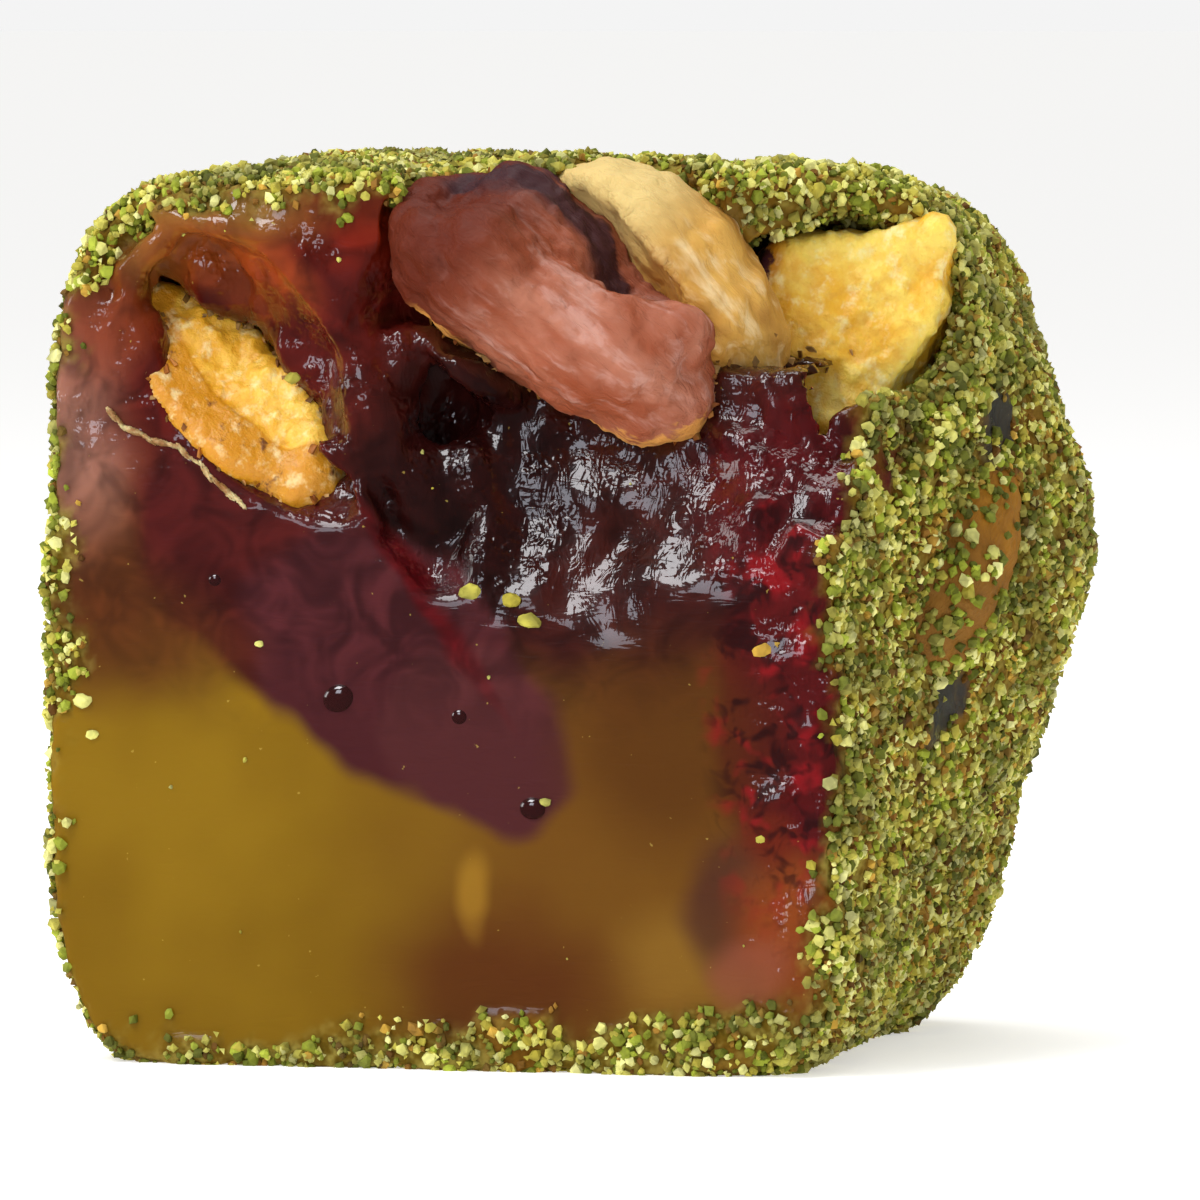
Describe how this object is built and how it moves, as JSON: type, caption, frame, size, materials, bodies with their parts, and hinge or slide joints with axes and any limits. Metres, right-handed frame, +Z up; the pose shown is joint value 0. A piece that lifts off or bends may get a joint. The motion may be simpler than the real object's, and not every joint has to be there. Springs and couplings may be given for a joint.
{
  "type": "turkish delight",
  "caption": "Cube of pistachio Turkish delight, cut open at the front, with kernels seated in its translucent jelly and a rolled-on nut coat.",
  "frame": {"origin": "middle of the box round the cube, on the surface the cube rests on", "axes": "+Z up, -Y the way the cut face looks, +X to the right of someone facing the cut face"},
  "size_m": [0.0288, 0.0268, 0.0272],
  "materials": {
    "jelly": "glossy, wet where cut; the real material is starch and sugar jelly stained by pistachio skins, under a coat of ground pistachio",
    "kernel_skin": "matte; the real material is the papery purple-brown skin of a pistachio kernel",
    "kernel_blanched": "matte; the real material is a pistachio kernel whose skin has rubbed off",
    "kernel_flesh": "matte, slightly oily; the real material is the broken yellow flesh of a pistachio kernel"
  },
  "bodies": {
    "root": {"jelly": "jelly", "kernel_centre": "kernel_skin", "kernel_tan": "kernel_blanched", "kernel_left": "kernel_flesh", "kernel_right": "kernel_flesh", "kernel_flank": "kernel_blanched"}
  },
  "joints": []
}
